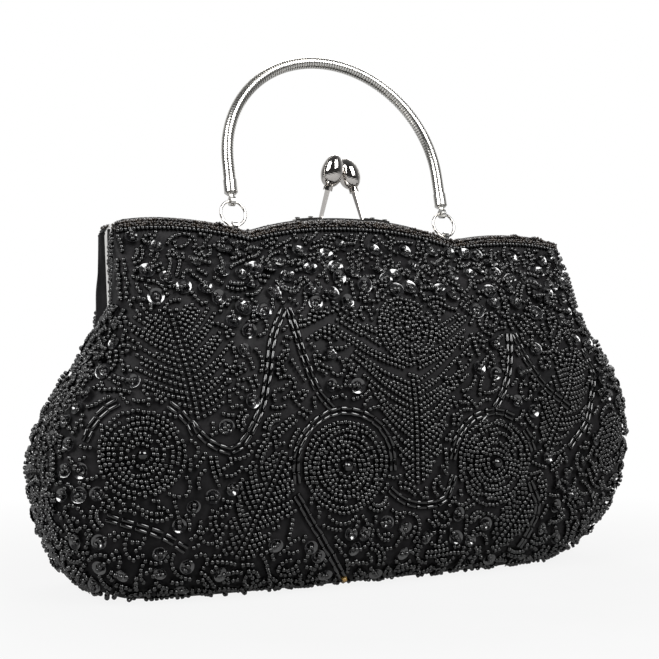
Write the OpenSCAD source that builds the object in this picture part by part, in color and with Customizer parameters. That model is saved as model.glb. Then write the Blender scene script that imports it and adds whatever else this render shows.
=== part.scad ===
// Beaded evening clutch with a wave-topped kiss-lock frame and a ribbed chain handle.
// Millimetres, +Z up. The origin is on the surface that the bag stands on, under its middle.
// X runs along the bag, and the front is towards -Y.

/* [Bag] */
// Half the length of the bag at its widest level
bag_half_l = 128; // [115:1:140]
// Half the depth of the bag at its fullest level
bag_half_d = 44; // [38:1:50]
// Thickness of the beaded outer fabric with its backing
skin_t = 1.6; // [1.2:0.1:2]
// Thickness of the lining
lining_t = 0.8; // [0.6:0.1:1.2]
// Squareness of the bag's front seen from above: 2 is an ellipse
front_power = 3.4; // [2.6:0.1:4]
// Squareness of the bag's back seen from above
rear_power = 2.6; // [2:0.1:3.2]

/* [Frame] */
// Half the width of the frame across its top corners
frame_half_w = 102.5; // [99:0.5:104]
// Height of the frame's corners over the surface that the bag stands on
corner_h = 139.7; // [136:0.5:144]
// Rise of the middle wave over the corners
peak_rise = 6; // [4:0.5:9]
// Rise of the two outer waves over the corners
side_rise = 2.5; // [1:0.5:5]
// Depth of the two valleys below the corners
valley_drop = 1.2; // [0:0.2:3]
// Distance of the valleys from the middle
valley_x = 47.5; // [42:0.5:54]
// Distance of the outer waves' tops from the middle
crest_x = 81.4; // [74:0.5:90]
// Radius of the frame's top corners
corner_r = 6; // [4:0.5:9]
// Sheet thickness of the frame
sheet_t = 0.9; // [0.7:0.1:1.2]
// Depth of the rail's channel walls
rail_d = 8; // [6:0.5:10]
// Width of the arms' channel walls
arm_d = 6; // [5:0.5:7.5]
// Depth of the rear half from the parting line to its back
rear_depth = 9.8; // [8:0.2:12]
// Depth of the front half from the parting line to its front
front_depth = 7.1; // [6:0.2:9]
// Bare metal beside the parting line on the rear half
rear_bare = 3.7; // [3:0.1:5]
// Bare metal beside the parting line on the front half
front_bare = 5; // [4:0.1:6]
// Height of the hinge over the surface that the bag stands on
hinge_h = 98; // [94:0.5:102]
// Radius of the hinge rivets
hinge_r = 1.25; // [1:0.05:1.6]

/* [Clasp] */
// Widest radius of a clasp knob
knob_r = 4.7; // [3.5:0.1:4.75]
// Height of a clasp knob
knob_h = 14; // [11:0.5:16]
// Height of the knobs' middle over the rail
knob_rise = 20; // [16:0.5:24]
// Length of the clasp strip's foot along the rail
foot_l = 12; // [9:0.5:16]
// Width of the clasp strip
strip_w = 3.2; // [2.4:0.1:3.4]
// Thickness of the clasp strip
strip_t = 0.9; // [0.7:0.1:1.2]
// Offset of the clasp from the frame's middle
clasp_x = -2.5; // [-4:0.5:4]

/* [Handle] */
// Radius of the handle's arch, to the middle of the chain
arch_r = 49.8; // [44:0.2:54]
// Length of the arch's straight legs above the caps
leg_l = 8.6; // [6:0.2:16]
// Radius of the chain over its ribs
chain_r = 2.5; // [2:0.1:3]
// Length along the chain from rib to rib
rib_pitch = 1.25; // [1:0.05:2]
// Radius of the stiff wire inside the chain
core_r = 1.2; // [0.8:0.1:1.4]
// Backward lean of the handle and its rings
handle_lean = 15; // [0:1:20]
// Middle radius of a ring
ring_r = 5.3; // [4.8:0.1:6]
// Radius of a ring's wire
wire_r = 0.6; // [0.5:0.05:0.7]

/* [Hidden] */
over = 0.5;
gap = 0.3;
smooth = 48;
sides = 44;
level_gap = 1;

// Levels of the bag's outline, from the base to the frame, as shares of the corners' height.
// Below the widest level the reach of its ends, front and back is a share of the widest one.
// From there up it is a share of the way from the mouth's reach to the widest one.
level_shares = [0, .01, .04, .085, .16, .245, .345, .45, .535, .605, .665, .71, .765, .825,
                .875, .92, .95];
widest_level = 6;
left_shares = [.79, .84, .885, .923, .963, .99, 1, .857, .582, .301, .125, .05, .02, .01,
               .005, 0, 0];
right_shares = [.63, .7, .765, .84, .92, .97, 1, 1, .923, .719, .464, .276, .158, .082,
                .031, .005, 0];
front_shares = [.6, .72, .85, .94, .99, 1, 1, .986, .957, .9, .836, .771, .671, .543, .371,
                .157, 0];
rear_shares = [.6, .72, .85, .93, .99, 1, .986, .901, .789, .662, .535, .437, .296, .183,
               .099, .035, 0];

// The parting plane of the frame and the faces of its two halves.
part_y = -1.5;
part_gap = 0.4;
rear_y0 = part_y + part_gap / 2;
rear_y1 = rear_y0 + rear_depth;
front_y1 = part_y - part_gap / 2;
front_y0 = front_y1 - front_depth;
rear_step_y = rear_y0 + rear_bare;
front_step_y = front_y1 - front_bare;

// The recess that takes the fabric glued over the frame, on the rail and on the arms.
cover_t = 0.9;
rail_recess = 2.6;
arm_recess = 0.9;
cover_proud = 0.2;
cover_face_t = 1.2;
cover_side = arm_recess - cover_t - cover_proud;
front_face = front_y0 - cover_face_t;
rear_face = rear_y1 + cover_face_t;
mouth_swell = 3.2;
mouth_l = frame_half_w + part_gap;
mouth_front = mouth_swell - front_face;
mouth_rear = mouth_swell + rear_face;
cover_low_share = 0.955;
cover_low = corner_h * cover_low_share;
arm_lean = 1.4;
arm_end = 5;
ear_t = 1.2;
ear_gap = 0.1;
ear_r = 3.5;
arm_low = hinge_h + arm_end;
wave_power = 2.2;
rail_steps = 40;
seat = 0.03;
corner_steps = 6;

// Hinge: the front half's ear runs inside the rear half's ear.
pin_play = 0.05;
ear_out = frame_half_w - arm_lean - arm_recess;
rear_ear_in = ear_out - ear_t;
front_ear_out = rear_ear_in - ear_gap;
front_ear_in = front_ear_out - ear_t;
head_r = 2.3;
head_t = 0.8;

// Clasp.
knob_play = 0.15;
knob_x = knob_r + knob_play;
knob_y = 2;
knob_mid_y = -0.5;
foot_x = 8.9;
collar_r = 2;
collar_h = 1.4;
rivet_r = 0.6;
rivet_head_r = 1.05;
rivet_tail_r = 0.8;
rivet_head_h = 0.5;
left_foot_y = rear_y0 + strip_w / 2 + gap;
right_foot_y = front_y1 - strip_w / 2 - gap;

// Handle hardware. Its pieces are drawn upright over the lugs' pivot and then leaned back.
lug_x = arch_r;
lug_y = rear_y0 + 1.9;
lug_r = 1.8;
lug_w = 1.8;
lug_lift = 2.1;
lug_foot = 0.3;
eye_play = 0.35;
eye_bore = wire_r + eye_play;
eye_r = 2.1;
eye_w = 2;
cap_r = 2.8;
cap_l = 6.2;
cap_round = 0.9;
neck_r = 1.15;
neck_l = 0.7;
socket_d = 2.4;
chain_play = 0.05;
rib_depth = 0.3;
rib_share = 0.62;
eye_z = 2 * ring_r;
cap_z0 = eye_z + eye_r + neck_l;
cap_z1 = cap_z0 + cap_l;
arch_z = cap_z1 + leg_l;
chain_z0 = cap_z1 - socket_d;

function rail_z(x) =
    let (a = abs(x), peak = corner_h + peak_rise, side = corner_h + side_rise,
         low = corner_h - valley_drop)
    a <= valley_x ? peak - (peak - low) * pow(a / valley_x, wave_power)
    : a <= crest_x ? side - (side - low) * pow((crest_x - a) / (crest_x - valley_x), wave_power)
    : side - side_rise * pow((a - crest_x) / (frame_half_w - crest_x), 2);

lug_z = rail_z(lug_x) + lug_lift;

// Outline of the frame in X and Z, drawn in by one distance on the rail and one on the arms.
function arm_x(z, inset) =
    frame_half_w - inset - arm_lean * (corner_h - z) / (corner_h - hinge_h);
function outline(rail_in, arm_in, low) =
    let (rx = max(corner_r - arm_in, sheet_t), rz = max(corner_r - rail_in, sheet_t),
         cx = frame_half_w - arm_in - rx, cz = rail_z(cx) - rail_in - rz,
         right = concat([for (i = [0:rail_steps]) let (x = cx * i / rail_steps)
                         [x, rail_z(x) - rail_in]],
                        [for (i = [1:corner_steps]) let (a = 90 - 90 * i / corner_steps)
                         [cx + rx * cos(a), cz + rz * sin(a)]],
                        [[arm_x(low, arm_in), low]]),
         n = len(right))
    concat([for (i = [n - 1:-1:1]) [-right[i][0], right[i][1]]], right);
function band(rail_out, arm_out, rail_in, arm_in, low) =
    let (inner = outline(rail_in, arm_in, low), n = len(inner))
    concat(outline(rail_out, arm_out, low), [for (i = [n - 1:-1:0]) inner[i]]);

module slab(y0, y1) {
    translate([0, y1, 0])
    rotate([90, 0, 0])
    linear_extrude(y1 - y0)
    children();
}

// The space under the rail's top, a little larger, which shapes what is seated on the rail.
module under_rail(y0, y1) {
    slab(y0, y1)
    polygon(outline(-seat, -seat, arm_low));
}

module frame_band(y0, y1, rail_out, arm_out, rail_in, arm_in, low) {
    slab(y0, y1)
    polygon(band(rail_out, arm_out, rail_in, arm_in, low));
}

// One half of the frame: a folded channel, bare beside the parting line and recessed beyond it.
module frame_half(bare_y, edge_y, back_y) {
    y0 = min(edge_y, back_y);
    y1 = max(edge_y, back_y);
    s0 = min(bare_y, back_y);
    s1 = max(bare_y, back_y);
    b0 = min(bare_y, edge_y);
    b1 = max(bare_y, edge_y);
    difference() {
        union() {
            frame_band(b0, b1, 0, 0, rail_d, arm_d, arm_low);
            frame_band(s0, s1, rail_recess, arm_recess, rail_d, arm_d, arm_low);
        }
        frame_band(y0 + sheet_t, y1 - sheet_t, rail_recess + sheet_t, arm_recess + sheet_t,
                   rail_d + over, arm_d + over, arm_low - over);
        frame_band(b0 + sheet_t, b1 - sheet_t, sheet_t, sheet_t, rail_recess + 2 * sheet_t,
                   arm_recess + 2 * sheet_t, arm_low - over);
    }
}

module along_x(x0, x1, r) {
    translate([x0, part_y, hinge_h])
    rotate([0, 90, 0])
    cylinder(h = x1 - x0, r = r, $fn = smooth);
}

// Hinge ears at both arm ends: a plate under the arm with a round end on the hinge axis.
module ears(x0, x1, y0, y1, bore) {
    for (side = [0, 1])
        mirror([side, 0, 0])
        difference() {
            union() {
                along_x(x0, x1, ear_r);
                translate([x0, y0, hinge_h])
                cube([x1 - x0, y1 - y0, arm_end + sheet_t]);
            }
            along_x(x0 - over, x1 + over, bore);
        }
}

module rear_frame() {
    color("silver")
    difference() {
        union() {
            frame_half(rear_step_y, rear_y0, rear_y1);
            ears(rear_ear_in, ear_out, rear_y0, rear_y0 + ear_r + sheet_t, hinge_r);
        }
        rivet_holes(-1, left_foot_y);
    }
}

module front_frame() {
    color("silver")
    difference() {
        union() {
            frame_half(front_step_y, front_y1, front_y0);
            ears(front_ear_in, front_ear_out, front_y1 - ear_r - sheet_t, front_y1,
                 hinge_r + pin_play);
        }
        rivet_holes(1, right_foot_y);
    }
}

module hinge_rivet(side) {
    color("gainsboro")
    mirror([side, 0, 0])
    union() {
        along_x(front_ear_in - ear_gap - head_t / 2, ear_out + head_t / 2, hinge_r);
        along_x(ear_out, ear_out + head_t, head_r);
        along_x(front_ear_in - ear_gap - head_t, front_ear_in - ear_gap, head_r);
    }
}

// Fabric glued over a half of the frame: over its rail and arms, and down its face as far as
// the top edge of the bag's panel.
module cover(step_y, face_y, out) {
    y0 = min(step_y, face_y);
    y1 = max(step_y, face_y);
    f0 = out > 0 ? face_y : face_y - cover_face_t;
    top_in = rail_recess - cover_t;
    window_x = arm_x(cover_low, arm_d);
    union() {
        frame_band(y0, y1, top_in, cover_side, rail_recess, arm_recess, arm_low);
        difference() {
            slab(f0, f0 + cover_face_t)
            polygon(outline(top_in, cover_side, arm_low));
            translate([-window_x, f0 - over, arm_low - over])
            cube([2 * window_x, cover_face_t + 2 * over, cover_low - arm_low + over]);
        }
    }
}

module rear_cover() {
    color("dimgray")
    cover(rear_step_y, rear_y1, 1);
}

module front_cover() {
    color("dimgray")
    cover(front_step_y, front_y0, -1);
}

// The bag's outline at one level: flat across the frame's depth at both ends, and bulging from
// there to a fuller front and a flatter back.
function spow(v, p) = sign(v) * pow(abs(v), p);
function reach_at(shares, widest, mouth, z) =
    lookup(z / corner_h, [for (i = [0:len(shares) - 1])
                          [level_shares[i], i < widest_level ? widest * shares[i]
                                            : mouth + (widest - mouth) * shares[i]]]);
function ring(z, inset) =
    [for (i = [0:sides - 1])
        let (t = 360 * (i + 0.5) / sides, front = sin(t) < 0,
             q = 2 / (front ? front_power : rear_power),
             flat = front ? gap - front_face : gap + rear_face,
             ends = cos(t) < 0 ? left_shares : right_shares,
             a = reach_at(ends, bag_half_l, mouth_l, z) - inset,
             b = front ? reach_at(front_shares, bag_half_d, mouth_front, z) - inset
                 : reach_at(rear_shares, bag_half_d, mouth_rear, z) - inset)
        [a * spow(cos(t), q), sign(sin(t)) * flat + (b - flat) * spow(sin(t), q), z]];
function levels_between(z0, z1) =
    concat([z0], [for (s = level_shares)
                  if (s * corner_h > z0 + level_gap && s * corner_h < z1 - level_gap)
                  s * corner_h], [z1]);

// Closed solid from one level of the bag's form to another.
module form(z0, z1, inset) {
    zs = levels_between(z0, z1);
    n = len(zs);
    points = [for (z = zs) each ring(z, inset)];
    walls = [for (j = [0:n - 2]) for (i = [0:sides - 1])
        let (k = (i + 1) % sides, a = j * sides + i, b = j * sides + k) each
        [[a, a + sides, b + sides], [a, b + sides, b]]];
    low = [[for (i = [0:sides - 1]) i]];
    top = [[for (i = [sides - 1:-1:0]) (n - 1) * sides + i]];
    polyhedron(points, concat(walls, low, top), convexity = 6);
}

module wall(z0, z1, inset, t, floor_z) {
    difference() {
        form(z0, z1, inset);
        form(floor_z, z1 + over, inset + t);
    }
}

split_h = hinge_h - 2;
tab_rise = 10;
tab_h = hinge_h + tab_rise;
panel_h = cover_low - gap;
lining_in = skin_t + gap;
board_t = 1.6;
board_in = 8;
lining_z0 = skin_t + board_t;
lining_top = corner_h * 0.93;

module front_of(y, z0, z1) {
    translate([-2 * bag_half_l, y - 2 * bag_half_d, z0])
    cube([4 * bag_half_l, 2 * bag_half_d, z1 - z0]);
}

module behind(y, z0, z1) {
    translate([-2 * bag_half_l, y, z0])
    cube([4 * bag_half_l, 2 * bag_half_d, z1 - z0]);
}

module bag_body() {
    color("#26262a")
    difference() {
        wall(0, tab_h, 0, skin_t, skin_t);
        front_of(front_face - gap, split_h, tab_h + over);
        behind(rear_face + gap, split_h, tab_h + over);
        slab(front_face - gap, rear_face + gap)
        polygon(outline(rail_recess - cover_t, cover_side - gap, split_h));
    }
}

module rear_panel() {
    color("#2c2c30")
    intersection() {
        wall(split_h, panel_h, 0, skin_t, split_h - over);
        behind(rear_face + gap, split_h, panel_h);
    }
}

module front_panel() {
    color("#303034")
    intersection() {
        wall(split_h + gap, panel_h, 0, skin_t, split_h - over);
        front_of(front_face - 2 * gap, split_h, panel_h);
    }
}

module lining() {
    color("#18181a")
    union() {
        wall(lining_z0, split_h, lining_in, lining_t, lining_z0 + lining_t);
        intersection() {
            wall(split_h, lining_top, lining_in, lining_t, split_h - over);
            behind(rear_face + gap, split_h, lining_top);
        }
    }
}

module front_lining() {
    color("#1c1c1e")
    intersection() {
        wall(split_h + gap, lining_top, lining_in, lining_t, split_h - over);
        front_of(front_face - 2 * gap, split_h, lining_top);
    }
}

// A flat slip pocket sewn to the rear lining.
pocket_half_w = 55;
pocket_z0 = 40;
pocket_z1 = 84;
module slip_pocket() {
    color("#202022")
    intersection() {
        wall(pocket_z0, pocket_z1, lining_in + lining_t, lining_t, pocket_z0 - over);
        translate([-pocket_half_w, 0, 0])
        cube([2 * pocket_half_w, 2 * bag_half_d, pocket_z1]);
    }
}

module base_board() {
    color("#8a7f70")
    translate([0, 0, skin_t])
    linear_extrude(board_t)
    polygon([for (p = ring(0, board_in)) [p[0], p[1]]]);
}

// Clasp strip: a foot that follows the rail and a stem bent up to the knob.
module clasp_place(side, foot_y, knob_side_y) {
    base_x = clasp_x + side * foot_x;
    base_z = rail_z(base_x);
    top = [clasp_x + side * knob_x, knob_mid_y + knob_side_y, corner_h + peak_rise + knob_rise];
    d = top - [base_x, foot_y, base_z];
    l = norm(d);
    translate([base_x, foot_y, base_z])
    rotate([-asin(d[1] / l), atan2(d[0], d[2]), 0])
    children();
}

function stem_l(side, foot_y, knob_side_y) =
    norm([side * (knob_x - foot_x), knob_mid_y + knob_side_y - foot_y,
          corner_h + peak_rise + knob_rise - rail_z(clasp_x + side * foot_x)]);

foot_steps = 4;
module clasp_foot(side, foot_y) {
    x0 = clasp_x + side * foot_x;
    x1 = x0 + side * foot_l;
    low_x = min(x0, x1);
    step = foot_l / foot_steps;
    top = [for (i = [foot_steps:-1:0]) let (x = low_x + step * i) [x, rail_z(x) + strip_t]];
    low = [for (i = [0:foot_steps]) let (x = low_x + step * i) [x, rail_z(x)]];
    slab(foot_y - strip_w / 2, foot_y + strip_w / 2)
    polygon(concat(low, top));
}

rivet_shares = [0.375, 0.875];
module at_rivets(side, foot_y) {
    for (s = rivet_shares) {
        x = clasp_x + side * (foot_x + foot_l * s);
        translate([x, foot_y, rail_z(x)])
        children();
    }
}

module rivet_holes(side, foot_y) {
    at_rivets(side, foot_y)
    translate([0, 0, -2 * sheet_t])
    cylinder(h = 2 * sheet_t + 2 * strip_t, r = rivet_r, $fn = smooth);
}

stem_low_share = 0.65;
module clasp_strip(side, foot_y, knob_side_y) {
    l = stem_l(side, foot_y, knob_side_y);
    stem = l - knob_h / 2 - collar_h;
    color("gainsboro")
    difference() {
        union() {
            clasp_foot(side, foot_y);
            clasp_place(side, foot_y, knob_side_y)
            translate([-strip_t / 2, 0, 0])
            rotate([90, 0, 90])
            linear_extrude(strip_t)
            polygon([[-strip_w * stem_low_share / 2, 0], [strip_w * stem_low_share / 2, 0],
                     [strip_w / 2, stem], [-strip_w / 2, stem]]);
        }
        rivet_holes(side, foot_y);
        under_rail(foot_y - strip_w, foot_y + strip_w);
    }
}

// A knob: an egg, fuller below its middle, on a small round collar.
knob_steps = 28;
egg_share = 0.12;
function egg(i) =
    let (u = -cos(180 * i / knob_steps))
    [knob_r * sin(180 * i / knob_steps) * (1 - egg_share * u - egg_share * egg_share),
     knob_h / 2 * u];
module clasp_knob(side, foot_y, knob_side_y) {
    l = stem_l(side, foot_y, knob_side_y);
    color("silver")
    clasp_place(side, foot_y, knob_side_y)
    union() {
        translate([0, 0, l])
        rotate_extrude($fn = smooth)
        polygon([for (i = [0:knob_steps]) egg(i)]);
        translate([0, 0, l - knob_h / 2 - collar_h])
        cylinder(h = collar_h + gap, r = collar_r, $fn = smooth);
    }
}

module clasp_rivets(side, foot_y) {
    color("gainsboro")
    at_rivets(side, foot_y)
    union() {
        translate([0, 0, -sheet_t - gap - rivet_head_h / 2])
        cylinder(h = sheet_t + strip_t + 2 * gap + rivet_head_h / 2, r = rivet_r, $fn = smooth);
        translate([0, 0, strip_t + gap / 2])
        cylinder(h = rivet_head_h, r = rivet_head_r, $fn = smooth);
        translate([0, 0, -sheet_t - gap - rivet_head_h])
        cylinder(h = rivet_head_h, r = rivet_tail_r, $fn = smooth);
    }
}

// Lug: a small eye standing on the rail, with its hole along X.
module lug(side) {
    color("silver")
    difference() {
        union() {
            translate([side * lug_x - lug_w / 2, lug_y, lug_z])
            rotate([0, 90, 0])
            cylinder(h = lug_w, r = lug_r, $fn = smooth);
            translate([side * lug_x - lug_w / 2, lug_y - lug_r, lug_z - lug_lift - lug_foot])
            cube([lug_w, 2 * lug_r, lug_lift + lug_foot]);
        }
        translate([side * lug_x - lug_w, lug_y, lug_z])
        rotate([0, 90, 0])
        cylinder(h = 2 * lug_w, r = eye_bore, $fn = smooth);
        under_rail(lug_y - lug_r - over, lug_y + lug_r + over);
    }
}

module on_handle() {
    translate([0, lug_y, lug_z])
    rotate([-handle_lean, 0, 0])
    children();
}

module handle_ring(side) {
    color("silver")
    on_handle()
    translate([side * lug_x, 0, ring_r])
    rotate([90, 0, 0])
    rotate_extrude($fn = 2 * smooth)
    translate([ring_r, 0])
    circle(r = wire_r, $fn = smooth);
}

module handle_cap(side) {
    color("silver")
    on_handle()
    translate([side * lug_x, 0, 0])
    difference() {
        union() {
            translate([-eye_w / 2, 0, eye_z])
            rotate([0, 90, 0])
            cylinder(h = eye_w, r = eye_r, $fn = smooth);
            translate([0, 0, eye_z + eye_bore + wire_r / 2])
            cylinder(h = cap_z0 + cap_round - eye_z - eye_bore - wire_r / 2, r = neck_r, $fn = smooth);
            translate([0, 0, cap_z0])
            cylinder(h = cap_round, r1 = cap_r - cap_round, r2 = cap_r, $fn = smooth);
            translate([0, 0, cap_z0 + cap_round])
            cylinder(h = cap_l - cap_round, r = cap_r, $fn = smooth);
        }
        translate([-eye_w, 0, eye_z])
        rotate([0, 90, 0])
        cylinder(h = 2 * eye_w, r = eye_bore, $fn = smooth);
        translate([0, 0, chain_z0])
        cylinder(h = socket_d + over, r = chain_r + chain_play, $fn = smooth);
    }
}

module arch(r) {
    translate([0, 0, arch_z])
    rotate([90, 0, 0])
    rotate_extrude(angle = 180, $fn = 4 * smooth)
    translate([arch_r, 0])
    circle(r = r, $fn = smooth);
    for (side = [-1, 1])
        translate([side * arch_r, 0, chain_z0])
        cylinder(h = arch_z - chain_z0, r = r, $fn = smooth);
}

module rib() {
    cylinder(h = rib_pitch * rib_share, r = chain_r, center = true, $fn = smooth);
}

leg_ribs = round((arch_z - chain_z0) / rib_pitch);
arch_ribs = round(PI * arch_r / rib_pitch);
module handle_chain() {
    color("silver")
    on_handle()
    difference() {
        union() {
            arch(chain_r - rib_depth);
            for (i = [0.5:arch_ribs - 0.5])
                translate([0, 0, arch_z])
                rotate([0, -180 * i / arch_ribs, 0])
                translate([arch_r, 0, 0])
                rib();
            for (side = [-1, 1], i = [0.5:leg_ribs - 0.5])
                translate([side * arch_r, 0, chain_z0 + (arch_z - chain_z0) * i / leg_ribs])
                rib();
        }
        arch(core_r);
    }
}

module handle_core() {
    color("gray")
    on_handle()
    arch(core_r);
}

bag_body();
rear_panel();
front_panel();
lining();
front_lining();
slip_pocket();
base_board();
rear_frame();
front_frame();
rear_cover();
front_cover();
hinge_rivet(1);  // hinge_rivet_left
hinge_rivet(0);  // hinge_rivet_right
clasp_strip(-1, left_foot_y, -knob_y);  // left_clasp_strip
clasp_strip(1, right_foot_y, knob_y);  // right_clasp_strip
clasp_knob(-1, left_foot_y, -knob_y);  // left_clasp_knob
clasp_knob(1, right_foot_y, knob_y);  // right_clasp_knob
clasp_rivets(-1, left_foot_y);  // left_clasp_rivets
clasp_rivets(1, right_foot_y);  // right_clasp_rivets
lug(-1);  // left_lug
lug(1);  // right_lug
handle_ring(-1);  // left_ring
handle_ring(1);  // right_ring
handle_cap(-1);  // left_handle_cap
handle_cap(1);  // right_handle_cap
handle_core();
handle_chain();
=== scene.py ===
"""Looks of the beaded evening clutch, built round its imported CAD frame.

Shapes are worked out in millimetres in the row frame. The cloth, lining, beadwork and bending
clasp strips are pieces made here; the rest of the metal is the CAD's own, with materials.
"""

import math

import bmesh
import bpy
import numpy as np
from mathutils import Matrix, Vector


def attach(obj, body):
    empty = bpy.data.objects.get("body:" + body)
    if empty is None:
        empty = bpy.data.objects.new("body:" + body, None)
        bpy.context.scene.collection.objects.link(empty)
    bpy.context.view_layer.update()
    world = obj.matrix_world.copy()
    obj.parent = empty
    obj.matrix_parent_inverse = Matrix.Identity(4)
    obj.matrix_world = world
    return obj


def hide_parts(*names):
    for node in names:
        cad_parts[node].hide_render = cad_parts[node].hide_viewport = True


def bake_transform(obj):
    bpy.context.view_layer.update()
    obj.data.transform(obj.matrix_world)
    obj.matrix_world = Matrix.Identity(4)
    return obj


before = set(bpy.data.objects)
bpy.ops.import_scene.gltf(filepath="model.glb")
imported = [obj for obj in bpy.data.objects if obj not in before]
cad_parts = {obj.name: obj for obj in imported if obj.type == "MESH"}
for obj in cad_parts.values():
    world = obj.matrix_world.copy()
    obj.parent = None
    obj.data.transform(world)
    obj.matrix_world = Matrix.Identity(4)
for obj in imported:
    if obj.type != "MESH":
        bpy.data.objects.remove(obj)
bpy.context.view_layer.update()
rng = np.random.default_rng(867)
MM = 0.001


def add_object(name, data):
    made = bpy.data.objects.new(name, data)
    bpy.context.scene.collection.objects.link(made)
    return made


# ---- camera
PHOTO_SIZE = 659
FOCAL_PX = 1160
CAMERA_TURN = math.radians(26.4)
CAMERA_TILT = math.radians(-0.95)
CAMERA_DISTANCE = 0.484
CAMERA_TARGET = Vector((-0.0074, 0, 0.0997))
SENSOR = 36


def make_camera():
    """The camera fitted to the photograph's frame corners, handle and outline."""
    ahead = Vector((math.sin(CAMERA_TURN) * math.cos(CAMERA_TILT),
                    math.cos(CAMERA_TURN) * math.cos(CAMERA_TILT), -math.sin(CAMERA_TILT)))
    right = Vector((math.cos(CAMERA_TURN), -math.sin(CAMERA_TURN), 0))
    up = right.cross(ahead)
    data = bpy.data.cameras.new("camera")
    data.sensor_width = SENSOR
    data.lens = SENSOR * FOCAL_PX / PHOTO_SIZE
    data.clip_start = 0.01
    camera = add_object("camera", data)
    turn = Matrix((right, up, -ahead)).transposed().to_4x4()
    camera.matrix_world = Matrix.Translation(CAMERA_TARGET - ahead * CAMERA_DISTANCE) @ turn
    bpy.context.scene.camera = camera


# ---- nodes and materials
# The chain's ribs, as the CAD sets them out above the rings' pivot.
PIVOT_Y, PIVOT_Z = 0.6, 141.13
HANDLE_LEAN = math.radians(15)
ARCH_Z, ARCH_RIBS = 28.2, 125
LEG_L, LEG_RIBS = 11.0, 9
# The second colour is painted shade, darkening the chain's grooves between its ribs.
CHAIN_TINT, GROOVE_SHADE = (0.86, 0.85, 0.82), (0.2, 0.19, 0.17)


def feed(tree, node, inputs):
    """Sets a node's inputs to numbers, or links them to sockets."""
    for key, value in inputs.items():
        if isinstance(value, bpy.types.NodeSocket):
            tree.links.new(value, node.inputs[key])
        else:
            node.inputs[key].default_value = value


def add_node(tree, kind, inputs):
    node = tree.nodes.new(kind)
    feed(tree, node, inputs)
    return node


def noise(tree, coords, scale, detail, rough):
    return add_node(tree, "ShaderNodeTexNoise", {
        "Vector": coords, "Scale": scale, "Detail": detail, "Roughness": rough}).outputs["Fac"]


def ramp(tree, value, stops):
    """Colour ramp through (position, colour or grey level) stops."""
    node = add_node(tree, "ShaderNodeValToRGB", {"Fac": value})
    elements = node.color_ramp.elements
    while len(elements) < len(stops):
        elements.new(0.5)
    for element, (position, colour) in zip(elements, stops):
        element.position = position
        element.color = (*np.broadcast_to(colour, 3), 1)
    return node.outputs["Color"]


def to_range(tree, value, low, high, from_low=0.0, from_high=1.0):
    return add_node(tree, "ShaderNodeMapRange", {
        "Value": value, "From Min": from_low, "From Max": from_high, "To Min": low,
        "To Max": high}).outputs["Result"]


def sums(tree, operation, *values):
    """One Math node on sockets or numbers."""
    node = tree.nodes.new("ShaderNodeMath")
    node.operation = operation
    feed(tree, node, dict(enumerate(values)))
    return node.outputs[0]


def mix(tree, share, under, over):
    return add_node(tree, "ShaderNodeMixShader", {0: share, 1: under, 2: over}).outputs["Shader"]


def bumps(tree, shader, *layers):
    """Bump nodes of (height, strength, distance), each on top of the one before."""
    normal = None
    for height, strength, distance in layers:
        node = add_node(tree, "ShaderNodeBump", {
            "Height": height, "Strength": strength, "Distance": distance})
        if normal:
            tree.links.new(normal, node.inputs["Normal"])
        normal = node.outputs["Normal"]
    tree.links.new(normal, shader.inputs["Normal"])


def new_material(name, field, stops, rough, settings=()):
    """A material whose colour and roughness follow one noise field of (scale, detail, rough)."""
    material = bpy.data.materials.new(name)
    material.use_nodes = True
    tree = material.node_tree
    tree.nodes.clear()
    coords = tree.nodes.new("ShaderNodeTexCoord").outputs["Object"]
    tone = noise(tree, coords, *field)
    if isinstance(rough, tuple):
        rough = to_range(tree, tone, *rough)
    shader = add_node(tree, "ShaderNodeBsdfPrincipled", {
        "Base Color": ramp(tree, tone, stops), "Roughness": rough, **dict(settings)})
    add_node(tree, "ShaderNodeOutputMaterial", {"Surface": shader.outputs["BSDF"]})
    return material, tree, shader, coords, tone


def nickel(name, tint, rough, scratch_turn=0.0):
    """Polished nickel plate: slight tint changes, smudges, fine scratches and soft dents."""
    material, tree, shader, coords, _ = new_material(
        name, (90, 5, 0.6), [(0.3, [c * 0.9 for c in tint]), (0.7, tint)], rough, {"Metallic": 1})
    stretch = add_node(tree, "ShaderNodeMapping", {
        "Vector": coords, "Scale": (0.06, 1, 1), "Rotation": (0, scratch_turn, 0.3)})
    scratch = noise(tree, stretch.outputs["Vector"], 5200, 2, 0.5)
    dents = noise(tree, coords, 160, 2, 0.4)
    bumps(tree, shader, (dents, 0.12, 0.0006), (scratch, 0.05, 0.00004))
    return material


def chain_nickel(name):
    """Nickel on the ribbed chain, with painted shade darkening the grooves, which follow its legs
    and arch.
    """
    material = nickel(name, CHAIN_TINT, (0.16, 0.28), 0.3)
    tree = material.node_tree
    upright = add_node(tree, "ShaderNodeMapping", {
        "Vector": tree.nodes.new("ShaderNodeTexCoord").outputs["Object"],
        "Location": (0, PIVOT_Y * MM, PIVOT_Z * MM), "Rotation": (-HANDLE_LEAN, 0, 0)})
    upright.vector_type = "TEXTURE"
    split = add_node(tree, "ShaderNodeSeparateXYZ", {"Vector": upright.outputs["Vector"]}).outputs
    over = sums(tree, "SUBTRACT", split["Z"], ARCH_Z * MM)
    arch = sums(tree, "ARCTAN2", sums(tree, "MAXIMUM", over, 0.0), split["X"])
    turns = sums(tree, "MULTIPLY", arch, 2 * ARCH_RIBS)
    leg = sums(tree, "MULTIPLY", sums(tree, "MINIMUM", over, 0.0),
               2 * math.pi * LEG_RIBS / (LEG_L * MM))
    groove = sums(tree, "COSINE", sums(tree, "ADD", turns, leg))
    # Painted shade: the colour darkens towards each groove.
    shade = ramp(tree, groove, [(0.3, CHAIN_TINT), (0.75, GROOVE_SHADE)])
    tree.links.new(shade, tree.nodes["Principled BSDF"].inputs["Base Color"])
    return material


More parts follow.
